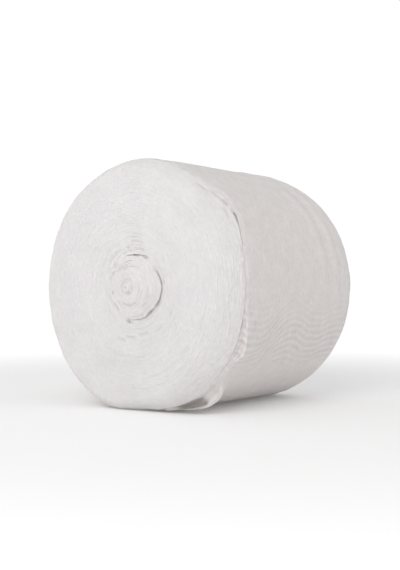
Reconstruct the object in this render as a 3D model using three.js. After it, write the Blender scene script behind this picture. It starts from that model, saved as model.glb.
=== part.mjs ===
// Gauze bandage roll: a wide strip of folded gauze wound into one large soft roll, lying on its side.
// Millimetres, +Z up. The roll's axis lies along Y, with the open end face towards -Y.
// The origin is on the ground, in the middle of the small flat spot under the roll.
import * as THREE from 'three';

const rollRadius = 130;
const rollLength = 248; // from the end face to the far end
const flatSag = 2; // how far the roll settles onto its flat spot
const clothThickness = 2; // the gauze folded in four, loosely
const seatGap = 0.4; // between the last turn and the roll under it
const turnSteps = 72; // points in one turn round the roll
const gauzeWhite = 0xe4e0e1;

const axisHeight = rollRadius - flatSag;
const faceAlong = -rollLength / 2; // the end face's plane
const farAlong = rollLength / 2;

// The turns' edges roll over from the face to the side, further back on the right than all round.
const rim = { inward: 9, back: 9, backRight: 25, rightHalf: 95, steps: 6 };
const wrap = { behindRim: 1, steps: 6 };
const wrapEdge = faceAlong + rim.backRight + wrap.behindRim; // the last turn's front edge
// The soft far end, and how much of it the last turn covers.
const shoulder = { inward: 33, back: 42, steps: 8, clothSteps: 7 };

// The end face from the middle outwards: how far it stands out where the core has come loose,
// and where the core is still held by the turns round it.
const faceRows = [
  { radius: 0, loose: 4, held: 4 },
  { radius: 6, loose: 6, held: 6 },
  { radius: 13, loose: 6.5, held: 6.5 },
  { radius: 19, loose: 5.5, held: 6 },
  { radius: 25, loose: 2, held: 5 },
  { radius: 30, loose: -4, held: 4 },
  { radius: 33, loose: -9, held: 3.5 },
  { radius: 35, loose: -9, held: 3 },
  { radius: 37, loose: -2, held: 2.5 },
  { radius: 40, loose: 0.5, held: 2 },
  { radius: 46, loose: 1, held: 1.5 },
  { radius: 50, loose: 1, held: 1.2 },
  { radius: 53, loose: 1, held: 1 },
  { radius: 56, loose: 1, held: 1 },
  { radius: 61, loose: 1, held: 1 },
  { radius: 80, loose: 1, held: 1 },
  { radius: 100, loose: 0.5, held: 0.5 },
];
const coreHeldAt = { angle: 180, half: 62, blend: 20 }; // the core's held side, in degrees round the face

// A slack turn below the core: an open gap along part of one turn.
const slackGap = { radius: 53, half: 3, depth: 3, from: -100, to: -15, blend: 15 };

// The far end from the shoulder inwards: how deep it lies. The middle went forward with the core.
const farRows = [
  { radius: 72, depth: 1 },
  { radius: 46, depth: 2 },
  { radius: 36, depth: 3 },
  { radius: 32, depth: 7 },
  { radius: 18, depth: 9 },
  { radius: 0, depth: 9 },
];

// Soft rings round the far half of the roll, strongest at the upper right.
const softRings = [
  { along: 44, swell: 0.9, spread: 7 },
  { along: 68, swell: 1.3, spread: 6 },
];
const ringsPeak = { angle: 45, half: 100 };

// The last turn's slack stretch, from its start down the right side, with the distance along the roll
// in which the slack dies out, and how far its front edge stands off the roll.
const lastTurn = { from: 20, to: -75, reach: 95 };
const edgeLift = [
  { angle: 20, lift: 0 },
  { angle: -5, lift: 1 },
  { angle: -15, lift: 5 },
  { angle: -30, lift: 12 },
  { angle: -35, lift: 4 },
  { angle: -40, lift: 5 },
  { angle: -50, lift: 17 },
  { angle: -60, lift: 12 },
  { angle: -70, lift: 1 },
  { angle: -75, lift: 0 },
];

const radians = THREE.MathUtils.degToRad;
const mix = THREE.MathUtils.lerp;
const ease = THREE.MathUtils.smoothstep;

// Degrees between two directions round the axis, from 0 to 180.
function angleBetween(a, b) {
  return Math.abs(THREE.MathUtils.euclideanModulo(a - b + 180, 360) - 180);
}

// 1 inside a stretch of angles, falling softly to 0 past its ends.
function within(angle, from, to, blend) {
  const middle = (from + to) / 2;
  const half = Math.abs(to - from) / 2;
  return 1 - ease(angleBetween(angle, middle), half, half + blend);
}

// How far a point of the end face stands out past the face's plane.
function faceRise(row, angle) {
  const heldFrom = coreHeldAt.angle - coreHeldAt.half;
  const heldTo = coreHeldAt.angle + coreHeldAt.half;
  const held = within(angle, heldFrom, heldTo, coreHeldAt.blend);
  const across = 1 - ease(Math.abs(row.radius - slackGap.radius), 0, slackGap.half);
  const open = slackGap.depth * across * within(angle, slackGap.from, slackGap.to, slackGap.blend);
  return mix(row.loose, row.held, held) - open;
}

// How deep the rim is at an angle round the face.
function rimBack(angle) {
  return mix(rim.backRight, rim.back, ease(angleBetween(angle, 0), 0, rim.rightHalf));
}

// How far the soft rings swell the side at one place.
function ringSwell(along, angle) {
  const share = 1 - ease(angleBetween(angle, ringsPeak.angle), 0, ringsPeak.half);
  const swells = softRings.map((ring) => ring.swell * Math.exp(-(((along - ring.along) / ring.spread) ** 2)));
  return share * swells.reduce((sum, swell) => sum + swell, 0);
}

// Whether the last turn lies over the roll at an angle.
function underLastTurn(angle) {
  const middle = (lastTurn.from + lastTurn.to) / 2;
  return angleBetween(angle, middle) <= (lastTurn.from - lastTurn.to) / 2;
}

// The stations of the cloth's outer surface, from the last turn's front edge over the side and far shoulder:
// each has its radius, its place along the axis and the direction straight out of the cloth.
function clothStations() {
  const shoulderAlong = farAlong - shoulder.back;
  const ringsAlong = softRings[0].along;
  const sideAlongs = Array.from({ length: wrap.steps }, (_, i) => mix(wrapEdge, ringsAlong, i / wrap.steps));
  const ringAlongs = softRings.flatMap((ring) => [ring.along, ring.along + ring.spread]);
  const alongs = [...sideAlongs, ...ringAlongs];
  const side = alongs.map((along) => ({ radius: rollRadius, along, outward: 1, back: 0 }));
  const bend = Array.from({ length: shoulder.steps }, (_, i) => {
    const turn = (Math.PI / 2) * (i / shoulder.steps);
    const slope = new THREE.Vector2(Math.cos(turn) / shoulder.inward, Math.sin(turn) / shoulder.back);
    const outward = slope.normalize();
    return {
      radius: rollRadius - shoulder.inward * (1 - Math.cos(turn)),
      along: shoulderAlong + shoulder.back * Math.sin(turn),
      outward: outward.x,
      back: outward.y,
    };
  });
  return [...side, ...bend];
}

// A point at a station of the cloth, at an angle round the roll (0 at +X, 90 at the top), raised off it.
function clothPoint(station, angle, raise) {
  const lift = raise + ringSwell(station.along, angle) * station.outward;
  return ringPoint(station.radius + lift * station.outward, station.along + lift * station.back, angle);
}

// A point at a radius from the axis, kept above the ground.
function ringPoint(radius, along, angle) {
  const up = axisHeight + radius * Math.sin(radians(angle));
  return new THREE.Vector3(radius * Math.cos(radians(angle)), along, Math.max(up, 0));
}

// The wound roll: a turned profile whose points follow the core, the slack gap, the last turn's seat
// and the ground.
function woundRoll() {
  const stations = clothStations();
  const rimRadius = rollRadius - clothThickness;
  const rimRows = Array.from({ length: rim.steps + 1 }, (_, i) => {
    const turn = (Math.PI / 2) * (i / rim.steps);
    return { radius: rimRadius - rim.inward * (1 - Math.sin(turn)), share: 1 - Math.cos(turn) };
  });
  const seat = -(clothThickness + seatGap);
  const rows = [
    ...faceRows.map((row) => (angle) => ringPoint(row.radius, faceAlong - faceRise(row, angle), angle)),
    ...rimRows.map((row) => (angle) => ringPoint(row.radius, faceAlong + row.share * rimBack(angle), angle)),
    ...stations.map((station) => (angle) => clothPoint(station, angle, underLastTurn(angle) ? seat : 0)),
    ...farRows.map((row) => (angle) => ringPoint(row.radius, farAlong - row.depth, angle)),
  ];
  // Any profile from the axis back to the axis gives the faces: every point is placed afresh below.
  const outline = rows.map((_, i) => new THREE.Vector2(Math.sin((Math.PI * i) / (rows.length - 1)), i));
  const geometry = new THREE.LatheGeometry(outline, turnSteps);
  const position = geometry.getAttribute('position');
  for (let i = 0; i < position.count; i += 1) {
    const angle = 90 - (360 * Math.floor(i / rows.length)) / turnSteps;
    const point = rows[i % rows.length](angle);
    position.setXYZ(i, point.x, point.y, point.z);
  }
  geometry.computeVertexNormals();
  return geometry;
}

// How far the last turn's front edge stands off the roll, eased from row to row.
function edgeLiftAt(angle) {
  const next = edgeLift.findIndex((row) => row.angle <= angle);
  const after = edgeLift[next];
  const before = edgeLift[Math.max(next - 1, 0)];
  return mix(after.lift, before.lift, ease(angle, after.angle, before.angle));
}

// The last turn: a sheet over the roll's right side, snug at the far end and slack along its front edge.
function lastTurnSheet() {
  const stations = clothStations().slice(0, -(shoulder.steps - shoulder.clothSteps));
  const angleStep = 360 / turnSteps;
  const steps = (lastTurn.from - lastTurn.to) / angleStep;
  const geometry = new THREE.BoxGeometry(1, 1, 1, steps, stations.length - 1, 1);
  const position = geometry.getAttribute('position');
  for (let i = 0; i < position.count; i += 1) {
    const angle = mix(lastTurn.from, lastTurn.to, position.getX(i) + 0.5);
    const station = stations[Math.round((position.getY(i) + 0.5) * (stations.length - 1))];
    const slack = 1 - ease(station.along, wrapEdge, wrapEdge + lastTurn.reach);
    const outside = position.getZ(i) > 0;
    const raise = edgeLiftAt(angle) * slack - (outside ? 0 : clothThickness);
    const point = clothPoint(station, angle, raise);
    position.setXYZ(i, point.x, point.y, point.z);
  }
  geometry.computeVertexNormals();
  return geometry;
}

function gauzePiece(name, geometry) {
  const material = new THREE.MeshStandardMaterial({ color: gauzeWhite, roughness: 0.95, metalness: 0 });
  const mesh = new THREE.Mesh(geometry, material);
  mesh.name = name;
  return mesh;
}

const gauzeRoll = new THREE.Group();
gauzeRoll.add(gauzePiece('wound_roll', woundRoll()));
gauzeRoll.add(gauzePiece('loose_end', lastTurnSheet()));

export default gauzeRoll;
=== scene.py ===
# Gauze bandage roll: one long gauze strip, folded in four and wound into a soft roll on its side.
import math
import bpy
import numpy as np
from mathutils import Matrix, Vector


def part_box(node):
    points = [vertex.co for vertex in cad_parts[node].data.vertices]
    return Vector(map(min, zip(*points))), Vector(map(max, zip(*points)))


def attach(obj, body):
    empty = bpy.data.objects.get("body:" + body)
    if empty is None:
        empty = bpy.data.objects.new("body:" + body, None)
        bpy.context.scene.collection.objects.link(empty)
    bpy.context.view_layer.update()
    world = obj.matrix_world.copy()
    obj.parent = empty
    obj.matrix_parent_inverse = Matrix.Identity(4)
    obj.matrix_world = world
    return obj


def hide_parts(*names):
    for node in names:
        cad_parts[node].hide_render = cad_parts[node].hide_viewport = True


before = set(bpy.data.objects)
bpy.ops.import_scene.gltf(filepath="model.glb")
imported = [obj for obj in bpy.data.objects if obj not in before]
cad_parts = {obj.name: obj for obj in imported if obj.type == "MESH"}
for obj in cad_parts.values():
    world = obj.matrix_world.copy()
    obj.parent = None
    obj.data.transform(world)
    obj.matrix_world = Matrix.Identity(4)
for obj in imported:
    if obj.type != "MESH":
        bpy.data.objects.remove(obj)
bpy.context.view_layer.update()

# Main sizes in metres, from the frame. Angles run round the axis: 0 at +X, 90 at the top.
rollLow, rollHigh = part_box("wound_roll")
rollRadius = -rollLow[0]
coreRise = 0.0065  # how far the core stands out of the end face
endFace = rollLow[1] + coreRise
farEnd = -endFace
flatSag = 0.002
axisHeight = rollRadius - flatSag
clothThick = 0.002
mm = 0.001
justUnder = 0.001  # keeps a share short of its limit

# the soft far end: how far it rounds inward and back, and the last turn's share of it
shoulder = {"inward": 0.033, "back": 0.042, "covered": 0.66}
# the turns' edges roll over from the end face to the side, furthest at the right:
# back and inward in millimetres
rim = {
    "power": 1.8,
    "rows": [
        {"angle": -75, "back": 16, "inward": 14},
        {"angle": -52, "back": 24, "inward": 22},
        {"angle": -10, "back": 25, "inward": 23},
        {"angle": 4, "back": 25.5, "inward": 23},
        {"angle": 16, "back": 28, "inward": 24},
        {"angle": 31, "back": 33, "inward": 25},
        {"angle": 40, "back": 32, "inward": 24},
        {"angle": 56, "back": 19, "inward": 18},
        {"angle": 90, "back": 11, "inward": 11},
        {"angle": 180, "back": 9, "inward": 9},
        {"angle": 250, "back": 10, "inward": 9},
        {"angle": 285, "back": 16, "inward": 14},
    ],
}
# the soft roll is not quite round, most of all at the end face:
# how far its outer turns swell, in millimetres, and how fast that fades towards the core
swellPower = 6
swell = [
    {"angle": -82, "out": 0},
    {"angle": -60, "out": 3.7},
    {"angle": -31, "out": 3.7},
    {"angle": -8, "out": 0},
    {"angle": 60, "out": 0},
    {"angle": 88, "out": 1.7},
    {"angle": 114, "out": 0.7},
    {"angle": 136, "out": 2.4},
    {"angle": 162, "out": 0.2},
    {"angle": 181, "out": -0.6},
    {"angle": 206, "out": 1.8},
    {"angle": 230, "out": 3.8},
    {"angle": 248, "out": 4.4},
    {"angle": 262, "out": 2},
    {"angle": 278, "out": 0},
]


# 0 below low, 1 above high, eased between
def ease(value, low, high):
    t = np.clip((value - low) / (high - low), 0, 1)
    return t * t * (3 - 2 * t)


# degrees between two directions, from 0 to 180
def angleBetween(a, b):
    return np.abs((a - b + 180) % 360 - 180)


# 1 inside a stretch of angles, eased to 0 over blend degrees past its ends
def within(angle, start, end, blend):
    half = abs(end - start) / 2
    return 1 - ease(angleBetween(angle, (start + end) / 2), half, half + blend)


# a short table's column at any place: cubics through the rows that never overshoot them
def alongTable(rows, at, column, place):
    x = np.array([row[at] for row in rows], float)
    v = np.array([row[column] for row in rows], float)
    order = np.argsort(x)
    x, v = x[order], v[order]
    step = np.diff(x)
    slope = np.diff(v) / step
    both = slope[:-1] * slope[1:]
    tilt = np.zeros(len(x))
    tilt[1:-1] = np.where(both > 0, 2 * both / np.where(both > 0, slope[:-1] + slope[1:], 1), 0)
    i = np.clip(np.searchsorted(x, place, "right") - 1, 0, len(x) - 2)
    t = np.clip((place - x[i]) / step[i], 0, 1)
    ends = v[i] * (1 + 2 * t) * (1 - t) ** 2 + v[i + 1] * t * t * (3 - 2 * t)
    return ends + step[i] * (tilt[i] * t * (1 - t) ** 2 - tilt[i + 1] * t * t * (1 - t))


# angles wrapped so that they run on from a table's first row
def onTable(rows, angle):
    first = rows[0]["angle"]
    return (angle - first) % 360 + first


# even wandering between -1 and 1 along one length: random heights a grain apart, eased between
def wander(place, grain, seed):
    place = place / grain
    i = np.floor(place).astype(int)
    i = i - i.min()
    heights = np.random.default_rng(seed).uniform(-1, 1, i.max() + 2)
    t = place - np.floor(place)
    return heights[i] + (heights[i + 1] - heights[i]) * t * t * (3 - 2 * t)


# soft lumps over a plane: a sum of cosine waves, 0.7 to 1.3 of the size long, in seeded directions
def lumps(x, z, size, seed, waves=9):
    rng = np.random.default_rng(seed)
    total = np.zeros(np.broadcast(x, z).shape)
    for turn, phase, stretch in rng.uniform(0, 1, (waves, 3)):
        k = 2 * math.pi / (size * (0.7 + 0.6 * stretch))
        heading = 2 * math.pi * turn
        total = total + np.cos(k * (x * math.cos(heading) + z * math.sin(heading)) + 2 * math.pi * phase)
    return total / math.sqrt(waves)


# wandering of several grains added up, by its rows
def wanderSum(rows, place):
    return sum(row["height"] * wander(place, row["grain"], row["seed"]) for row in rows)


# lumps of several sizes added up, by their rows
def lumpSum(rows, x, z):
    return sum(row["height"] * lumps(x, z, row["size"], row["seed"]) for row in rows)


# A point at a radius, an angle and a place along the axis. The outer turns swell out of round towards the end
# face, and over the flat spot the ground presses every radius in alike.
def rollPoint(radius, angle, along):
    turn = np.radians(angle)
    out = alongTable(swell, "angle", "out", onTable(swell, angle)) * mm
    out = out * np.clip((farEnd - along) / (farEnd - endFace), 0, 1)
    radius = radius + out * (radius / rollRadius) ** swellPower
    radius = radius * axisHeight / np.maximum(-np.sin(turn) * rollRadius, axisHeight)
    up = np.maximum(axisHeight + radius * np.sin(turn), 0)
    return np.stack(np.broadcast_arrays(radius * np.cos(turn), along, up), -1)


# a closed band: one loop of points per station, joined from station to station, with both ends capped;
# the lines along it through the folds' loop points are sharp; each point keeps its tone: painted shade, and
# on the sheet the edge's tint
def bandMesh(name, points, cloth, tone, folds=()):
    stations, loop = points.shape[:2]
    index = np.arange(stations * loop).reshape(stations, loop)
    a, b = index[:-1], index[1:]
    quads = np.stack([a, np.roll(a, -1, 1), np.roll(b, -1, 1), b], -1).reshape(-1, 4)
    corners = points.reshape(-1, 3)
    p, q, r = corners[quads[:, 0]], corners[quads[:, 1]], corners[quads[:, 2]]
    caps = [index[0][::-1], index[-1]]
    # the faces are turned round where they would enclose less than nothing
    if np.einsum("ij,ij->", p, np.cross(q, r)) < 0:
        quads = quads[:, ::-1]
        caps = [cap[::-1] for cap in caps]
    mesh = bpy.data.meshes.new(name)
    mesh.from_pydata(corners.tolist(), [], quads.tolist() + [cap.tolist() for cap in caps])
    mesh.polygons.foreach_set("use_smooth", np.ones(len(mesh.polygons), bool))
    corner = np.empty(len(mesh.loops), np.int32)
    mesh.loops.foreach_get("vertex_index", corner)
    ends = np.empty(2 * len(mesh.edges), np.int32)
    mesh.edges.foreach_get("vertices", ends)
    column = ends.reshape(-1, 2) % loop
    sharp = (column[:, 0] == column[:, 1]) & np.isin(column[:, 0], folds)
    mesh.attributes.new("sharp_edge", "BOOLEAN", "EDGE").data.foreach_set("value", sharp)
    mesh.attributes.new("tone", "FLOAT", "POINT").data.foreach_set("value", tone.ravel().astype(np.float32))
    mesh.uv_layers.new(name="cloth").data.foreach_set("uv", cloth.reshape(-1, 2)[corner].ravel())
    mesh.update()
    piece = bpy.data.objects.new(name, mesh)
    bpy.context.scene.collection.objects.link(piece)
    print(name, len(mesh.polygons), "faces")
    return piece


# The wound strip. Radii and heights are in millimetres, angles in degrees.
# Rise is how far an edge stands out of the end face.
woundStrip = {
    "start": 0.5,
    "end": 127.3,
    "split": 92,  # the inner turns are one piece and the outer turns another
    "pitch": [  # the turns are loose in the core and pressed together at the rim
        {"radius": 0, "pitch": 2.2},
        {"radius": 14, "pitch": 2.6},
        {"radius": 29, "pitch": 2.3},
        {"radius": 33, "pitch": 2.1},
        {"radius": 42, "pitch": 2.2},
        {"radius": 64, "pitch": 2.15},
        {"radius": 108, "pitch": 2.05},
        {"radius": 122, "pitch": 1.5},
        {"radius": 130, "pitch": 1.2},
    ],
    "rise": [
        {"radius": 0, "loose": 5.0, "held": 5.0},
        {"radius": 3, "loose": 5.5, "held": 5.5},
        {"radius": 6.8, "loose": 4.0, "held": 4.0},
        {"radius": 10.5, "loose": 6.3, "held": 5.9},
        {"radius": 14, "loose": 5.3, "held": 4.8},
        {"radius": 17, "loose": 6.0, "held": 5.4},
        {"radius": 20.5, "loose": 5.0, "held": 4.5},
        {"radius": 23.5, "loose": 5.1, "held": 4.5},
        {"radius": 26.5, "loose": 4.0, "held": 3.7},
        {"radius": 29, "loose": 3.4, "held": 3.6},
        {"radius": 32, "loose": 1.3, "held": 3.1},
        {"radius": 34, "loose": 0.4, "held": 2.9},
        {"radius": 40, "loose": 0.8, "held": 2},
        {"radius": 50, "loose": 1, "held": 1.2},
        {"radius": 80, "loose": 1, "held": 1},
        {"radius": 119, "loose": 0.5, "held": 0.5},
        {"radius": 130, "loose": 0, "held": 0},
    ],
    "middle": [  # the core has shifted as it came forward, and its turns have spread to the right
        {"radius": 0, "right": -1.4, "up": -3.0},
        {"radius": 10, "right": 0.2, "up": -2.5},
        {"radius": 32, "right": 7.5, "up": -1.1},
        {"radius": 34, "right": 8.5, "up": -1.1},
        {"radius": 48, "right": 5.4, "up": -0.8},
        {"radius": 85, "right": 0, "up": 0},
    ],
    "coreRadius": 32.8,
    "coreGap": [  # the turn round the core has sunk back, by how much at each angle
        {"angle": -180, "depth": 0},
        {"angle": -122, "depth": 0},
        {"angle": -103, "depth": 1.0},
        {"angle": -84, "depth": 1.6},
        {"angle": -66, "depth": 2.2},
        {"angle": -55, "depth": 3.6},
        {"angle": -42, "depth": 2.2},
        {"angle": -30, "depth": 3.4},
        {"angle": -12, "depth": 2.4},
        {"angle": 0, "depth": 2.8},
        {"angle": 7, "depth": 4.6},
        {"angle": 14, "depth": 2.6},
        {"angle": 24, "depth": 3.0},
        {"angle": 34, "depth": 1.2},
        {"angle": 44, "depth": 0.4},
        {"angle": 58, "depth": 0.5},
        {"angle": 66, "depth": 2.6},
        {"angle": 78, "depth": 1.8},
        {"angle": 92, "depth": 3.2},
        {"angle": 101, "depth": 2.4},
        {"angle": 112, "depth": 0},
        {"angle": 180, "depth": 0},
    ],
    "slack": [  # stretches of turns that have sunk back, or stand out where the depth is negative
        {"radius": 22.6, "half": 2.6, "depth": 1.2, "start": -142, "end": -118},
        {"radius": 18.6, "half": 2.8, "depth": 1.9, "start": -116, "end": -62},
        {"radius": 14.5, "half": 2.4, "depth": -1.2, "start": -112, "end": -66},
        {"radius": 6.4, "half": 2.4, "depth": 1.4, "start": -100, "end": -60},
        {"radius": 6.8, "half": 2.4, "depth": 1.6, "start": -22, "end": 12},
        {"radius": 9.6, "half": 2.0, "depth": 1.1, "start": 66, "end": 112},
        {"radius": 5.6, "half": 1.8, "depth": 0.7, "start": 100, "end": 180},
        {"radius": 13.6, "half": 1.8, "depth": 1.0, "start": -30, "end": 14},
        {"radius": 17.8, "half": 1.8, "depth": 1.3, "start": -44, "end": -10},
        {"radius": 20.6, "half": 1.8, "depth": 0.9, "start": 4, "end": 34},
        {"radius": 22.4, "half": 1.7, "depth": 1.3, "start": -36, "end": -2},
        {"radius": 25.6, "half": 1.7, "depth": 1.3, "start": -52, "end": -22},
        {"radius": 27.8, "half": 1.6, "depth": 0.8, "start": -18, "end": 24},
        {"radius": 22.0, "half": 1.8, "depth": 1.0, "start": 60, "end": 120},
        {"radius": 43.5, "half": 3.4, "depth": -1.5, "start": 76, "end": 98},
        {"radius": 38.5, "half": 4.0, "depth": -1.6, "start": 122, "end": 136},
        {"radius": 41.0, "half": 4.0, "depth": -1.2, "start": 150, "end": 172},
        {"radius": 39.5, "half": 3.6, "depth": -1.2, "start": 206, "end": 232},
        {"radius": 30.5, "half": 3.4, "depth": 1.0, "start": -70, "end": 26},
        {"radius": 35.5, "half": 4.0, "depth": 1.1, "start": -72, "end": 34},
        {"radius": 35.6, "half": 2.0, "depth": 2.2, "start": 5.5, "end": 8.5},
        {"radius": 35.2, "half": 2.0, "depth": 1.2, "start": -33, "end": -28},
        {"radius": 35, "half": 3.6, "depth": 2.2, "start": 139, "end": 145},
        {"radius": 30.4, "half": 3.0, "depth": 1.5, "start": 149, "end": 154},
        {"radius": 34.0, "half": 3.2, "depth": 1.8, "start": 163, "end": 168},
        {"radius": 39.5, "half": 3.4, "depth": 1.4, "start": 152, "end": 158},
        {"radius": 43.5, "half": 3.0, "depth": 1.2, "start": 136, "end": 143},
        {"radius": 29, "half": 3.0, "depth": 2.0, "start": 190, "end": 195},
        {"radius": 33, "half": 3.2, "depth": 2.2, "start": 214, "end": 220},
        {"radius": 37, "half": 3.0, "depth": 1.3, "start": 196, "end": 204},
        {"radius": 41, "half": 3.0, "depth": 1.2, "start": 184, "end": 192},
        {"radius": 41.0, "half": 2.4, "depth": 2.0, "start": 102.5, "end": 105},
        {"radius": 37.4, "half": 2.6, "depth": 2.2, "start": 100, "end": 103},
        {"radius": 36.0, "half": 2.4, "depth": 1.4, "start": 111, "end": 116},
        {"radius": 36.6, "half": 2.0, "depth": 2.6, "start": -108, "end": -102},
        {"radius": 36.5, "half": 3.5, "depth": 2.6, "start": -105.5, "end": -104},
        {"radius": 30, "half": 2.6, "depth": 2.4, "start": 219, "end": 226},
        {"radius": 41.5, "half": 3.4, "depth": -1.3, "start": -98, "end": -58},
        {"radius": 42, "half": 1.8, "depth": 1.2, "start": 118, "end": 131},
        {"radius": 37.5, "half": 1.4, "depth": 1.0, "start": 120, "end": 134},
        {"radius": 48.2, "half": 1.4, "depth": 1.0, "start": 144, "end": 154},
        {"radius": 38.6, "half": 1.6, "depth": 1.7, "start": 76, "end": 94},
        {"radius": 42.4, "half": 1.5, "depth": 1.5, "start": 78, "end": 97},
        {"radius": 46.2, "half": 1.5, "depth": 1.4, "start": 76, "end": 92},
        {"radius": 49.8, "half": 1.5, "depth": 1.2, "start": 78, "end": 95},
        {"radius": 53.4, "half": 1.5, "depth": 1.0, "start": 77, "end": 89},
        {"radius": 57.0, "half": 2.4, "depth": 1.5, "start": -109, "end": -101},
        {"radius": 53.2, "half": 2.4, "depth": 1.6, "start": -98, "end": -90},
        {"radius": 55.6, "half": 2.0, "depth": 1.0, "start": -94, "end": -84},
        {"radius": 50.2, "half": 2.8, "depth": 1.8, "start": -80, "end": -70},
        {"radius": 53.4, "half": 2.2, "depth": 0.7, "start": -56, "end": -46},
        {"radius": 56.3, "half": 2.2, "depth": 1.4, "start": -31, "end": -27},
        {"radius": 53.0, "half": 2.0, "depth": 1.0, "start": -29, "end": -25},
        {"radius": 72, "half": 1.6, "depth": 0.6, "start": -120, "end": -78},
        {"radius": 96, "half": 1.8, "depth": 0.6, "start": -78, "end": -40},
        {"radius": 105, "half": 1.8, "depth": 0.6, "start": -84, "end": -48},
        {"radius": 124.4, "half": 1.2, "depth": 2.2, "start": 49.5, "end": 52.5},
        {"radius": 125.6, "half": 1.2, "depth": 2.2, "start": 44.6, "end": 46.4},
        {"radius": 126.4, "half": 1.2, "depth": 2.4, "start": 38.5, "end": 42.5},
        {"radius": 124.6, "half": 1.4, "depth": 2.0, "start": 33, "end": 36},
    ],
    "toneDepth": 7,  # the depth at which a sunk turn's painted shade is darkest
    "fill": 1.14,  # a turn's thickness over its pitch, so that neighbours press into each other
    "heldSide": {"start": 114, "end": 246, "blend": 30},  # where the core has not pulled its turns loose
    "pathSteps": 6000,
    "stationStep": 1.9,
    "turnStations": 40,
    "nose": [  # the folded edge's round section: across the thickness, and back from its tip
        {"across": 1.0, "back": 1.0},
        {"across": 0.5, "back": 0.0},
        {"across": -0.5, "back": 0.0},
        {"across": -1.0, "back": 1.0},
    ],
    "noseBack": 0.14,
    "jitter": [  # uneven edges along the strip
        {"radius": 0, "height": 0.3},
        {"radius": 40, "height": 0.34},
        {"radius": 100, "height": 0.36},
        {"radius": 110, "height": 0.5},
        {"radius": 128, "height": 0.75},
    ],
    "rough": [
        {"height": 0.55, "grain": 17.0, "seed": 5},
        {"height": 0.9, "grain": 4.6, "seed": 6},
    ],
    # the top and left of the rim are smooth
    "quiet": {"start": 66, "end": 276, "blend": 25, "from": 100, "to": 114, "share": 0.86},
    "faceLumps": [
        {"height": 0.3, "size": 40, "seed": 3},
        {"height": 0.16, "size": 13, "seed": 4},
    ],
    "crumple": [  # how far the turns wander from even rounds
        {"radius": 0, "amount": 0.9},
        {"radius": 30, "amount": 1.1},
        {"radius": 36, "amount": 0.6},
        {"radius": 60, "amount": 0.8},
        {"radius": 105, "amount": 0.7},
        {"radius": 124, "amount": 0.0},
    ],
    "crumpleSize": 36,
    "crumpleSeeds": {"right": 11, "up": 12},
    "fineSize": 11,
    "fineSeeds": {"right": 15, "up": 16},
    "fineCrumple": 0.35,  # the short waves' share round the core, between two radii
    "fineStarts": (24, 32),
    "fineEnds": (36, 50),
    "faceCrumple": 0.12,  # and their share everywhere
    "farRows": [  # the far end: how deep the edges lie
        {"radius": 0, "depth": 9},
        {"radius": 18, "depth": 9},
        {"radius": 32, "depth": 7},
        {"radius": 36, "depth": 3},
        {"radius": 72, "depth": 1},
        {"radius": 130, "depth": 1},
    ],
    "farJitter": 0.34,
    "farRough": [
        {"height": 0.55, "grain": 17.0, "seed": 8},
        {"height": 0.9, "grain": 4.6, "seed": 9},
    ],
    "farLumps": [
        {"height": 0.5, "size": 46, "seed": 13},
        {"height": 0.2, "size": 15, "seed": 14},
    ],
    "farSlack": [  # the far end's sunk turns
        {"radius": 8, "half": 2.6, "depth": 1.6, "start": 20, "end": 200},
        {"radius": 16, "half": 2.6, "depth": 1.5, "start": 150, "end": 330},
        {"radius": 34, "half": 3.0, "depth": 2.6, "start": 170, "end": 250},
        {"radius": 36, "half": 2.4, "depth": 2.0, "start": 20, "end": 95},
        {"radius": 44, "half": 2.2, "depth": 1.2, "start": 262, "end": 318},
        {"radius": 55, "half": 2.4, "depth": 1.5, "start": 92, "end": 128},
        {"radius": 63, "half": 2.2, "depth": 1.1, "start": 214, "end": 246},
        {"radius": 78, "half": 2.4, "depth": 1.2, "start": -18, "end": 34},
        {"radius": 88, "half": 2.2, "depth": 1.0, "start": 150, "end": 196},
        {"radius": 97, "half": 2.4, "depth": 1.2, "start": 262, "end": 300},
    ],
}


# the rim's row at any angle
def rimAt(angle, column):
    return alongTable(rim["rows"], "angle", column, onTable(rim["rows"], angle)) * mm


# how far a turn's edge lies behind the end face as the rim rolls over: a power of its share of the way out
def rimBack(radius, angle):
    inward = rimAt(angle, "inward")
    share = np.clip((radius - (axisHeight - inward)) / inward, 0, 1)
    return rimAt(angle, "back") * share ** rim["power"]


# degrees over which a sunk stretch ends, and the share of its length added to them
sunkBlend = {"least": 2, "share": 0.2}


# how far the turns have sunk back: each row's depth over its radii and angles, eased out at its ends
def sunk(rows, radius, angle):
    total = 0 * (radius + angle)
    for row in rows:
        near = 1 - ease(np.abs(radius - row["radius"]), 0, row["half"])
        blend = sunkBlend["least"] + sunkBlend["share"] * (row["end"] - row["start"])
        total = total + row["depth"] * near * within(angle, row["start"], row["end"], blend)
    return total


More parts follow.
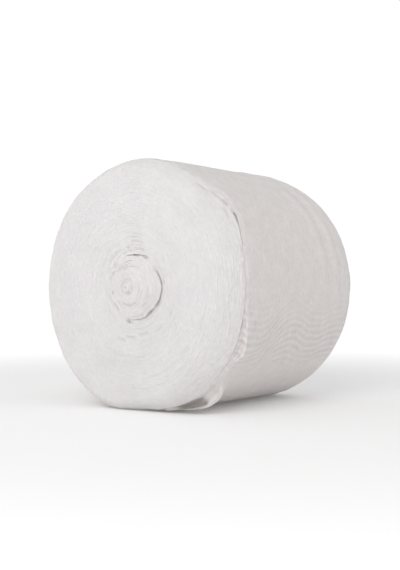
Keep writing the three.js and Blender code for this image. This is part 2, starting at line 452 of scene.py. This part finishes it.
# The strip's path: the turn angle grows by one turn for each pitch of radius, and stations stand evenly
# along it. Each station's loop is the round front edge, the hidden middle and the round far edge.
def makeWoundStrip(s):
    radii = np.linspace(s["start"], s["end"], s["pathSteps"])
    pitches = alongTable(s["pitch"], "radius", "pitch", radii)
    perRadius = 2 * math.pi / pitches
    counts = np.maximum(radii / s["stationStep"], s["turnStations"] / (2 * math.pi)) * perRadius
    step = radii[1] - radii[0]
    turned = np.concatenate([[0], np.cumsum((perRadius[1:] + perRadius[:-1]) / 2 * step)])
    counted = np.concatenate([[0], np.cumsum((counts[1:] + counts[:-1]) / 2 * step)])
    place = np.linspace(0, counted[-1], int(counted[-1]))
    radius = np.interp(place, counted, radii)
    angle = np.degrees(np.interp(s["coreRadius"], radii, turned) - np.interp(place, counted, turned))
    pitch = np.interp(radius, radii, pitches)
    length = np.concatenate([[0], np.cumsum(radius[1:] * np.abs(np.radians(np.diff(angle))))])

    across = np.array([row["across"] for row in s["nose"]])
    shift = np.gradient(alongTable(s["middle"], "radius", "right", radii), radii)
    spread = 1 + np.interp(radius, radii, shift) * np.cos(np.radians(angle))
    half = s["fill"] / 2 * pitch * spread
    bandRadius = radius[:, None] + half[:, None] * across
    around = angle[:, None]
    held = within(around, **s["heldSide"])
    loose = alongTable(s["rise"], "radius", "loose", bandRadius)
    rise = loose + (alongTable(s["rise"], "radius", "held", bandRadius) - loose) * held
    # the angle is 0 on the core's own turn, so only that turn lies within half a round of it
    hollow = (np.abs(around) < 180) * alongTable(s["coreGap"], "angle", "depth", around)
    hollow = hollow + sunk(s["slack"], bandRadius, around)
    rise = rise - hollow
    flatX, flatZ = bandRadius * np.cos(np.radians(around)), bandRadius * np.sin(np.radians(around))
    rise = rise + lumpSum(s["faceLumps"], flatX, flatZ)
    calm = s["quiet"]
    quiet = calm["share"] * ease(radius, calm["from"], calm["to"])
    quiet = quiet * within(angle, calm["start"], calm["end"], calm["blend"])
    jitter = alongTable(s["jitter"], "radius", "height", radius) * wanderSum(s["rough"], length)
    rise = rise + (jitter * (1 - quiet))[:, None]

    back = np.array([row["back"] for row in s["nose"]]) * s["noseBack"] * mm * pitch[:, None]
    front = endFace - rise * mm + rimBack(bandRadius * mm, around) + back
    shoulderStart = rollRadius - shoulder["inward"] - clothThick
    shoulderShare = np.clip((bandRadius * mm - shoulderStart) / shoulder["inward"], 0, 1 - justUnder)
    far = farEnd - alongTable(s["farRows"], "radius", "depth", bandRadius) * mm - clothThick - back
    far = far - shoulder["back"] * (1 - np.sqrt(1 - shoulderShare ** 2))
    farHollow = sunk(s["farSlack"], bandRadius, around)
    far = far + (s["farJitter"] * wanderSum(s["farRough"], length))[:, None] * mm - farHollow * mm
    far = far + lumpSum(s["farLumps"], flatX, flatZ) * mm

    bandRadius = np.concatenate([bandRadius, bandRadius[:, ::-1]], 1) * mm
    along = np.concatenate([front, far[:, ::-1]], 1)
    points = rollPoint(bandRadius, around, along)
    flatX, flatZ = radius * np.cos(np.radians(angle)), radius * np.sin(np.radians(angle))
    crumple = alongTable(s["crumple"], "radius", "amount", radius)
    fine = s["fineCrumple"] * (1 - ease(radius, *s["fineEnds"])) * ease(radius, *s["fineStarts"])
    fine = fine + s["faceCrumple"]
    for axis, column in ((0, "right"), (2, "up")):
        waves = lumps(flatX, flatZ, s["crumpleSize"], s["crumpleSeeds"][column])
        waves = waves + fine * lumps(flatX, flatZ, s["fineSize"], s["fineSeeds"][column])
        move = crumple * waves + alongTable(s["middle"], "radius", column, radius)
        points[..., axis] += (move * mm)[:, None]
    cloth = np.stack(np.broadcast_arrays((length * mm)[:, None], along + bandRadius), -1)
    # the tone is painted shade: darker the further a turn has sunk back
    tone = np.clip(np.concatenate([hollow, farHollow[:, ::-1]], 1) / s["toneDepth"], 0, 1)
    cut = np.searchsorted(radius, s["split"])
    nose = len(s["nose"])
    folds = [0, nose - 1, nose, 2 * nose - 1]
    inner = bandMesh("inner_turns", points[:cut + 1], cloth[:cut + 1], tone[:cut + 1], folds)
    return inner, bandMesh("outer_turns", points[cut:], cloth[cut:], tone[cut:], folds)


# The last turn, a sheet all the way round the roll. Angles are in degrees, sizes in millimetres.
lastTurn = {
    "start": 290,
    "end": -75,
    "stations": 480,
    "acrossOutside": 112,
    "acrossInside": 24,
    "acrossEdge": 21,
    # the front edge: how far it stands off the roll, the gap under it, its lap behind the gap,
    # and how far along the roll the slack reaches
    "edge": [
        {"angle": 290, "lift": -2.2, "gap": -3.4, "lap": 3, "reach": 60},
        {"angle": 262, "lift": -0.9, "gap": -2.7, "lap": 3, "reach": 60},
        {"angle": 90, "lift": -0.9, "gap": -2.7, "lap": 3, "reach": 60},
        {"angle": 58, "lift": -0.6, "gap": -3.4, "lap": 3.4, "reach": 60},
        {"angle": 48, "lift": 0.2, "gap": -3.4, "lap": 3.4, "reach": 50},
        {"angle": 44, "lift": 0.9, "gap": -2.4, "lap": 3.4, "reach": 50},
        {"angle": 41, "lift": 0.2, "gap": -3.4, "lap": 3.4, "reach": 50},
        {"angle": 37, "lift": 0.4, "gap": -3.2, "lap": 3.4, "reach": 50},
        {"angle": 34.5, "lift": 1.3, "gap": -1.7, "lap": 3.4, "reach": 50},
        {"angle": 31.5, "lift": 1.5, "gap": -1.35, "lap": 3.4, "reach": 50},
        {"angle": 28.5, "lift": 1.0, "gap": -1.9, "lap": 3.4, "reach": 50},
        {"angle": 26, "lift": 0.2, "gap": -3.0, "lap": 3.4, "reach": 50},
        {"angle": 0, "lift": -0.4, "gap": -2.7, "lap": 2.6, "reach": 60},
        {"angle": -10, "lift": 0.4, "gap": -2.7, "lap": 2.2, "reach": 60},
        {"angle": -16, "lift": 2.8, "gap": -2.7, "lap": 2, "reach": 60},
        {"angle": -23.3, "lift": 5.4, "gap": -2.7, "lap": 2, "reach": 58},
        {"angle": -28.5, "lift": 6.6, "gap": -2.7, "lap": 2.4, "reach": 50},
        {"angle": -32, "lift": 3.8, "gap": -2.7, "lap": 3, "reach": 42},
        {"angle": -35.5, "lift": 0.8, "gap": -2.9, "lap": 3.4, "reach": 36},
        {"angle": -41.9, "lift": 0.6, "gap": -3.0, "lap": 4, "reach": 30},
        {"angle": -46, "lift": 5.6, "gap": -3.0, "lap": 6, "reach": 26},
        {"angle": -50.2, "lift": 12.0, "gap": -3.4, "lap": 10, "reach": 26},
        {"angle": -53, "lift": 12.8, "gap": -3.4, "lap": 10, "reach": 26},
        {"angle": -57.5, "lift": 10.0, "gap": -3.2, "lap": 7, "reach": 26},
        {"angle": -63.7, "lift": 4.2, "gap": -3.0, "lap": 4, "reach": 28},
        {"angle": -69.8, "lift": 0.4, "gap": -3.0, "lap": 3, "reach": 32},
        {"angle": -75, "lift": -0.2, "gap": -2.7, "lap": 3, "reach": 40},
    ],
    "behindRim": [  # how far the edge lies behind the rim's end
        {"angle": -75, "behind": -1.4},
        {"angle": -60, "behind": -2.2},
        {"angle": 24, "behind": -2.2},
        {"angle": 38, "behind": -1.3},
        {"angle": 62, "behind": -0.4},
        {"angle": 90, "behind": 0.5},
        {"angle": 262, "behind": 0.5},
        {"angle": 290, "behind": -1.4},
    ],
    "hollow": [  # how deep the front edge is hollowed between its plies
        {"angle": -75, "depth": 0},
        {"angle": -70, "depth": 1},
        {"angle": -66, "depth": 9},
        {"angle": -61, "depth": 10},
        {"angle": -56, "depth": 6},
        {"angle": -50, "depth": 4},
        {"angle": -43, "depth": 0},
        {"angle": -35, "depth": 0.8},
        {"angle": -29.5, "depth": 4.4},
        {"angle": -22, "depth": 3.8},
        {"angle": -14, "depth": 1.2},
        {"angle": -8, "depth": 0},
        {"angle": 290, "depth": 0},
    ],
    "hollowStarts": (0, 0.2),  # shares of the way out through the plies
    "hollowEnds": (0.5, 0.8),
    "gapReach": 2.6,
    "leastThick": 1.2,
    "thinLip": {"start": -76, "end": -62, "blend": 8},  # where the outer ply is thinnest, with painted shadow under it
    "lipShift": 0.32,  # how much further out the hollow ends there
    # painted shadow under the thin lip, on its edge and outside
    "lipShade": 1.15,
    "edgeTone": (1, 0.6),  # the outside's first two columns
    "sideShare": 0.76,  # the side's share of the way across, before the shoulder
    "seatFrom": 0.84,
    "farSeat": (1.0, 2.4),  # how far its far edge is pressed in, outside and inside
    "toneDepth": 5.5,  # the hollow depth at which the edge is as dark as the sheet; deeper hollows take painted shade
    "edgeWander": [
        {"height": 0.5, "grain": 34, "seed": 21},
        {"height": 0.3, "grain": 9, "seed": 22},
    ],
    "coverWander": [  # of the far edge, as a share of the shoulder
        {"height": 0.035, "grain": 90, "seed": 24},
        {"height": 0.012, "grain": 14, "seed": 25},
    ],
    "clothLumps": [
        {"height": 0.22, "size": 42, "seed": 31},
        {"height": 0.1, "size": 13, "seed": 32},
    ],
    "ringAngle": 45,  # where the rings are fullest, and how far round they reach
    "ringReach": 100,
    "rings": [  # soft rings round the far half
        {"along": 42, "swell": 1.6, "spread": 7},
        {"along": 66, "swell": 2.2, "spread": 6.5},
    ],
    "plies": 4,
    "plyDepth": 1.1,
    "plyShare": 0.7,  # the most that a ply's depth may be of its thickness
    "plySmooth": 0.6,  # how much of that depth a hollow takes away
    "plyWander": [{"height": 0.04, "grain": 11, "seed": 23}],
    "plyLumps": [{"height": 0.6, "size": 15, "seed": 33}],
    "plyUneven": 0.5,
    "unevenGrain": 8,
    "unevenSeed": 41,  # the first ply's, and one more for each ply after it
    "edgeRound": 1.1,
    "bowLeast": 0.8,  # the bow's share at the bottom, and the angles where it grows to full
    "bowGrows": (-42, -20),
    "weftBow": [  # how the cross threads bow along the roll
        {"along": -100, "bow": 2},
        {"along": -75, "bow": 0},
        {"along": -60, "bow": 3},
        {"along": -48, "bow": 12},
        {"along": -38, "bow": 20},
        {"along": -26, "bow": 27},
        {"along": -12, "bow": 30},
        {"along": 2, "bow": 28},
        {"along": 22, "bow": 21},
        {"along": 45, "bow": 20},
        {"along": 60, "bow": 25},
        {"along": 80, "bow": 27},
        {"along": 110, "bow": 24},
    ],
}


# The sheet's loop at each station: the outside from front to far edge, back along the inside,
# then the front edge with its folded plies.
def makeLastTurn(s):
    angle = np.linspace(s["start"], s["end"], s["stations"])[:, None]
    roundLength = np.radians(angle) * rollRadius / mm
    edge = endFace + rimAt(angle, "back") + alongTable(s["behindRim"], "angle", "behind", angle) * mm
    edge = edge + wanderSum(s["edgeWander"], roundLength) * mm
    lift = alongTable(s["edge"], "angle", "lift", angle)
    gap = alongTable(s["edge"], "angle", "gap", angle)
    lap = alongTable(s["edge"], "angle", "lap", angle) * mm
    reach = alongTable(s["edge"], "angle", "reach", angle)
    shoulderAlong = farEnd - shoulder["back"]
    covered = shoulder["covered"] + wanderSum(s["coverWander"], roundLength)

    # the cloth at a share of the way across, raised off the roll's surface: by slack, rings and soft lumps
    def clothPoint(share, inside):
        onSide = np.clip(share / s["sideShare"], 0, 1)
        onShoulder = np.clip((share - s["sideShare"]) / (1 - s["sideShare"]), 0, 1)
        turn = np.radians(90 * covered) * onShoulder
        radius = rollRadius - shoulder["inward"] * (1 - np.cos(turn))
        first = edge if inside else edge + lap
        along = first + (shoulderAlong - first) * onSide + shoulder["back"] * np.sin(turn)
        outward, back = np.cos(turn) / shoulder["inward"], np.sin(turn) / shoulder["back"]
        size = np.hypot(outward, back)
        fromEdge = (along - edge) / mm
        raised = lift * (1 - ease(fromEdge, 0, reach))
        ringShare = 1 - ease(angleBetween(angle, s["ringAngle"]), 0, s["ringReach"])
        for ring in s["rings"]:
            away = (along / mm - ring["along"]) / ring["spread"]
            raised = raised + ring["swell"] * ringShare * np.exp(-(away ** 2))
        raised = raised + lumpSum(s["clothLumps"], roundLength, along / mm)
        under = -clothThick / mm + (gap + clothThick / mm) * (1 - ease(fromEdge, 0, s["gapReach"]))
        seated = ease(share, s["seatFrom"], 1)
        raised = raised - s["farSeat"][0] * seated
        under = under - s["farSeat"][1] * seated
        raised = (np.minimum(under, raised - s["leastThick"]) if inside else raised) * mm
        return rollPoint(radius + raised * outward / size, angle, along + raised * back / size)

    outside = clothPoint(np.linspace(0, 1, s["acrossOutside"])[None, :], False)
    inside = clothPoint(np.linspace(1, 0, s["acrossInside"])[None, :], True)
    q = np.linspace(0, 1, s["acrossEdge"] + 2)[None, 1:-1]
    height = np.linalg.norm(outside[:, :1] - inside[:, -1:], axis=2) / mm
    ply = np.clip((q + wanderSum(s["plyWander"], roundLength)) * s["plies"], 0, s["plies"] - justUnder)
    seeds = range(s["unevenSeed"], s["unevenSeed"] + s["plies"])
    uneven = np.concatenate([wander(roundLength, s["unevenGrain"], seed) for seed in seeds], 1)
    uneven = np.take_along_axis(uneven, np.floor(ply).astype(int), 1)
    hollow = alongTable(s["hollow"], "angle", "depth", angle)
    plyDepth = np.minimum(height / s["plies"] * s["plyShare"], s["plyDepth"])
    plyDepth = plyDepth * (1 - s["plySmooth"] * np.clip(hollow / s["toneDepth"], 0, 1))
    bulge = s["edgeRound"] * np.sqrt(1 - (2 * q - 1) ** 2)
    bulge = bulge + plyDepth * (np.abs(np.sin(np.pi * ply)) - 0.5 + s["plyUneven"] * uneven)
    bulge = bulge + plyDepth * lumpSum(s["plyLumps"], roundLength, q * height)
    thin = within(angle, **s["thinLip"])
    hollowEnds = [end + s["lipShift"] * thin for end in s["hollowEnds"]]
    hollow = hollow * ease(q, *s["hollowStarts"]) * (1 - ease(q, *hollowEnds))
    bulge = bulge - hollow
    fold = inside[:, -1:] + (outside[:, :1] - inside[:, -1:]) * q[..., None]
    fold[..., 1] -= bulge * mm
    points = np.concatenate([outside, inside, fold], 1)
    bow = alongTable(s["weftBow"], "along", "bow", points[..., 1] / mm)
    bow = bow * (s["bowLeast"] + (1 - s["bowLeast"]) * ease(angle, *s["bowGrows"]))
    cloth = np.stack([np.radians(angle) * rollRadius - bow * mm, points[..., 1]], -1)
    cloth[:, -s["acrossEdge"]:, 1] -= (1 - q) * height * mm
    tone = np.zeros(points.shape[:2])
    # the tone: the edge's tint, less painted shade in deep hollows and under the thin lip
    tone[:, -s["acrossEdge"]:] = 1 - hollow / s["toneDepth"] - s["lipShade"] * thin
    tone[:, :len(s["edgeTone"])] = s["edgeTone"] - s["lipShade"] * thin
    return bandMesh("last_turn", points, cloth, tone)


# A shader socket whose arithmetic adds Math nodes.
class Wire:
    def __init__(self, finish, socket):
        self.finish = finish
        self.socket = socket

    def math(self, operation, *values):
        return self.finish.add("ShaderNodeMath", {"operation": operation}, dict(enumerate(values)))["Value"]

    def __add__(self, other):
        return self.math("ADD", self, other)

    def __sub__(self, other):
        return self.math("SUBTRACT", self, other)

    def __rsub__(self, other):
        return self.math("SUBTRACT", other, self)

    def __mul__(self, other):
        return self.math("MULTIPLY", self, other)

    __radd__ = __add__
    __rmul__ = __mul__

    def sin(self):
        return self.math("SINE", self)


# The nodes of a material or a world, round the shader they feed.
class Finish:
    def __init__(self, owner, shader):
        owner.use_nodes = True
        self.tree = owner.node_tree
        self.shader = self.tree.nodes[shader]

    # any node by its type, settings and socket values; returns its outputs by name and by number
    def add(self, kind, settings, inputs):
        node = self.tree.nodes.new(kind)
        for key, value in settings.items():
            setattr(node, key, value)
        self.feed(node, inputs)
        wires = [Wire(self, out) for out in node.outputs]
        return {**{wire.socket.name: wire for wire in wires}, **dict(enumerate(wires))}

    def feed(self, node, inputs):
        for key, value in inputs.items():
            if isinstance(value, Wire):
                self.tree.links.new(value.socket, node.inputs[key])
            else:
                node.inputs[key].default_value = value

    def mixColour(self, factor, first, second):
        return self.add("ShaderNodeMix", {"data_type": "RGBA"}, {0: factor, 6: first, 7: second})[2]

    def noise(self, place, scale, detail):
        return self.add("ShaderNodeTexNoise", {}, {"Vector": place, "Scale": scale, "Detail": detail})["Fac"]

    # patterns added up by their shares
    def blend(self, patterns, shares):
        parts = [patterns[name] * share for name, share in shares.items()]
        return sum(parts[1:], parts[0])

    # 0 to 1 eased between two values, or 1 to 0
    def fade(self, value, low, high, first=0.0, last=1.0):
        places = {0: value, 1: low, 2: high, 3: first, 4: last}
        return self.add("ShaderNodeMapRange", {"interpolation_type": "SMOOTHSTEP"}, places)["Result"]


# what all the cotton shares: matt, a little sheen, and light that passes through the fibres
softCotton = {
    "Roughness": 0.95,
    "Specular IOR Level": 0.2,
    "Sheen Weight": 0.12,
    "Sheen Roughness": 0.5,
    "Subsurface Weight": 0.3,
    "Subsurface Radius": (1.0, 0.96, 0.94),
    "Subsurface Scale": 0.0018,
}


# a cotton's colour and bump, and what all the cotton shares
def coverCotton(f, look, colour, height):
    depth = {"Strength": look["bump"], "Distance": look["bumpDepth"]}
    bump = f.add("ShaderNodeBump", {}, {**depth, "Height": height})
    f.feed(f.shader, {"Base Color": colour, "Normal": bump["Normal"], **softCotton})


woundLook = {
    "pale": (0.85, 0.82, 0.829, 1),
    "deep": (0.67, 0.644, 0.648, 1),
    "creamPale": (0.835, 0.805, 0.793, 1),  # the core is creamier
    # the rim: a warmer tint, and paler as painted light against the shade of its rolled-over edges
    "rimPale": (0.905, 0.868, 0.862, 1),
    "hollow": (0.5, 0.478, 0.462, 1),  # painted shade on sunk turns
    "coreEnds": (1.1, 2.6),  # metres along the strip
    "rimStarts": (17.0, 25.0),
    "hollowMix": (0.4, 1.2),  # how much painted shade a hollow takes: everywhere, and more on its nubs
    "streak": (60, 650),  # streaks a metre, along and across the strip
    "nubs": 270,  # these too are counted in a metre
    "fuzz": 1500,
    "mottle": 45,
    "shade": {"streak": 0.3, "nubs": 0.55, "fuzz": 0.1, "mottle": 0.4},  # from deep to pale
    "shadeStart": -0.18,
    "height": {"streak": 0.45, "nubs": 0.6, "fuzz": 0.15},
    "bump": 0.65,
    "bumpDepth": 0.0012,
}


# wound edges: fuzzy cotton, streaked along the strip, with painted shade on the sunk turns
def woundFinish(look):
    material = bpy.data.materials.new("woundGauze")
    f = Finish(material, "Principled BSDF")
    cloth = f.add("ShaderNodeUVMap", {"uv_map": "cloth"}, {})["UV"]
    parts = f.add("ShaderNodeSeparateXYZ", {}, {0: cloth})
    along, across = look["streak"]
    place = f.add("ShaderNodeCombineXYZ", {}, {0: parts["X"] * along, 1: parts["Y"] * across})["Vector"]
    here = f.add("ShaderNodeTexCoord", {}, {})["Object"]
    patterns = {
        "streak": f.noise(place, 1.0, 3.0),
        "nubs": f.noise(here, look["nubs"], 2.0),
        "fuzz": f.noise(here, look["fuzz"], 2.0),
        "mottle": f.noise(here, look["mottle"], 3.0),
    }
    pale = f.mixColour(f.fade(parts["X"], *look["coreEnds"]), look["creamPale"], look["pale"])
    pale = f.mixColour(f.fade(parts["X"], *look["rimStarts"]), pale, look["rimPale"])
    shade = f.blend(patterns, look["shade"]) + look["shadeStart"]
    # painted shade: the sunk turns' tone mixes in the hollow colour
    tone = f.add("ShaderNodeAttribute", {"attribute_name": "tone"}, {})["Fac"]
    everywhere, onNubs = look["hollowMix"]
    paintedShade = tone * (everywhere + patterns["nubs"] * onNubs)
    colour = f.mixColour(paintedShade, f.mixColour(shade, look["deep"], pale), look["hollow"])
    coverCotton(f, look, colour, f.blend(patterns, look["height"]))
    return material


sheetLook = {
    "pale": (0.844, 0.804, 0.791, 1),
    "deep": (0.637, 0.602, 0.589, 1),
    "edgePale": (0.85, 0.815, 0.812, 1),
    # painted shade in the flap's pocket and under its thin lip
    "hollow": (0.43, 0.4, 0.38, 1),
    "thread": 1.2,  # millimetres from thread to thread
    "line": 6.8,  # millimetres from one bowed line to the next
    "lineHeights": (0.038, 0.1),  # the heights between which the lines show
    "lineFade": 0.02,
    "lineLeast": 0.05,  # how much of the lines is left above them
    "linePatches": (0.35, 1.3),  # the lines are weaker and stronger in patches
    "lineWaver": 2.0,
    "patches": 55,  # this and the rest are counted in a metre
    "fuzz": 800,
    "mottle": 260,
    "cloud": 75,
    "slubs": (60, 420),
    "shade": {"lines": 0.17, "crossing": 0.12, "fuzz": 0.25, "mottle": 0.6, "slubs": 0.5, "cloud": 0.5},
    "shadeStart": -0.425,  # half way from deep to pale where every pattern is at its middle
    "height": {"lines": 1.4, "weft": 0.2, "warp": 0.2, "fuzz": 0.3, "mottle": 0.75, "slubs": 0.6},
    "bump": 0.6,
    "bumpDepth": 0.0006,
}


# sheet gauze: fine crossed threads and the wider bowed lines of the cross threads, on the cloth's own map
# with painted shade in the flap's pocket and under its thin lip
def sheetFinish(look):
    material = bpy.data.materials.new("sheetGauze")
    f = Finish(material, "Principled BSDF")
    cloth = f.add("ShaderNodeUVMap", {"uv_map": "cloth"}, {})["UV"]
    parts = f.add("ShaderNodeSeparateXYZ", {}, {0: cloth})
    here = f.add("ShaderNodeTexCoord", {}, {})["Object"]
    up = f.add("ShaderNodeSeparateXYZ", {}, {0: here})["Z"]
    low, high = look["lineHeights"]
    soft = look["lineFade"]
    patches = f.noise(cloth, look["patches"], 2.0)
    weakest, stronger = look["linePatches"]
    showing = f.fade(up, low, low + soft) * f.fade(up, high - soft, high + soft, 1.0, look["lineLeast"])
    showing = showing * (weakest + patches * stronger)
    turn = 2 * math.pi / mm
    weft = (parts["X"] * (turn / look["thread"])).sin()
    warp = (parts["Y"] * (turn / look["thread"])).sin()
    along, across = look["slubs"]
    place = f.add("ShaderNodeCombineXYZ", {}, {0: parts["X"] * along, 1: parts["Y"] * across})["Vector"]
    patterns = {
        "weft": weft,
        "warp": warp,
        "crossing": weft * warp,
        "lines": (parts["X"] * (turn / look["line"]) + patches * look["lineWaver"]).sin() * showing,
        "fuzz": f.noise(cloth, look["fuzz"], 3.0),
        "mottle": f.noise(cloth, look["mottle"], 2.0),
        "cloud": f.noise(cloth, look["cloud"], 2.0),
        "slubs": f.noise(place, 1.0, 2.0),
    }
    shade = f.blend(patterns, look["shade"]) + look["shadeStart"]
    tone = f.add("ShaderNodeAttribute", {"attribute_name": "tone"}, {})["Fac"]
    pale = f.mixColour(tone, look["pale"], look["edgePale"])
    # painted shade: where the tone falls below 0 the hollow colour is mixed in
    colour = f.mixColour(tone * -1.0, f.mixColour(shade, look["deep"], pale), look["hollow"])
    coverCotton(f, look, colour, f.blend(patterns, look["height"]))
    return material


# camera: level with the axis, to the right of the end face
view = {"azimuth": 38.0, "elevation": -0.35, "distance": 1.040, "focalPixels": 929.0, "imageLong": 570.0,
        "moveRight": 5.8, "moveDown": 1.2}


def makeCamera(v):
    a, e = math.radians(v["azimuth"]), math.radians(v["elevation"])
    back = np.array([math.sin(a) * math.cos(e), -math.cos(a) * math.cos(e), math.sin(e)])
    camera = bpy.data.objects.new("camera", bpy.data.cameras.new("camera"))
    camera.location = np.array([0, 0, axisHeight]) + v["distance"] * back
    camera.rotation_euler = (math.pi / 2 - e, 0, a)
    camera.data.sensor_width = 36
    camera.data.lens = v["focalPixels"] * camera.data.sensor_width / v["imageLong"]
    camera.data.shift_x = -v["moveRight"] / v["imageLong"]
    camera.data.shift_y = v["moveDown"] / v["imageLong"]
    camera.data.clip_start = 0.01
    bpy.context.scene.collection.objects.link(camera)
    bpy.context.scene.camera = camera


# studio: a pale floor, even white surroundings and a large soft light from the front right and above
studio = {
    "floor": 8.0,
    "floorTone": 0.97,
    "floorGlow": (0.06, 0.32),  # under the roll, and further off where the floor meets the backdrop
    "glowReach": (0.35, 1.1),
    "around": 0.69,
    "backdrop": 1.02,  # what the camera sees past the floor
    "keyPower": 22.6,
    "keySize": 1.6,
    "keyPlace": (0.75, -2.2, 1.4),
}


def makeStudio(s):
    half = s["floor"] / 2
    mesh = bpy.data.meshes.new("floor")
    corners = [(-half, -half, 0), (half, -half, 0), (half, half, 0), (-half, half, 0)]
    mesh.from_pydata(corners, [], [(0, 1, 2, 3)])
    floor = bpy.data.objects.new("floor", mesh)
    bpy.context.scene.collection.objects.link(floor)
    mesh.materials.append(bpy.data.materials.new("paleFloor"))
    f = Finish(mesh.materials[0], "Principled BSDF")
    here = f.add("ShaderNodeTexCoord", {}, {})["Object"]
    away = f.add("ShaderNodeVectorMath", {"operation": "LENGTH"}, {0: here})["Value"]
    near, further = s["floorGlow"]
    glow = f.mixColour(f.fade(away, *s["glowReach"]), (near,) * 3 + (1,), (further,) * 3 + (1,))
    f.feed(f.shader, {"Base Color": (s["floorTone"],) * 3 + (1,), "Roughness": 0.9, "Specular IOR Level": 0.0,
                      "Emission Color": glow, "Emission Strength": 1.0})
    bpy.context.scene.world = bpy.data.worlds.new("studio")
    w = Finish(bpy.context.scene.world, "Background")
    seen = w.add("ShaderNodeLightPath", {}, {})["Is Camera Ray"]
    w.feed(w.shader, {"Color": (1, 1, 1, 1), "Strength": s["around"] + seen * (s["backdrop"] - s["around"])})
    key = bpy.data.objects.new("key", bpy.data.lights.new("key", "AREA"))
    key.data.energy = s["keyPower"]
    key.data.size = s["keySize"]
    key.location = s["keyPlace"]
    aim = np.array([0, 0, axisHeight]) - np.array(key.location)
    key.rotation_euler = (math.atan2(math.hypot(aim[0], aim[1]), -aim[2]), 0, math.atan2(-aim[0], aim[1]))
    bpy.context.scene.collection.objects.link(key)
    bpy.context.scene.view_settings.view_transform = "Standard"


makeCamera(view)
makeStudio(studio)

edgeGauze = woundFinish(woundLook)
for turns in makeWoundStrip(woundStrip):
    turns.data.materials.append(edgeGauze)
    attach(turns, "root")
    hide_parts("wound_roll")

sheet = makeLastTurn(lastTurn)
sheet.data.materials.append(sheetFinish(sheetLook))
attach(sheet, "root")
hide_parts("loose_end")
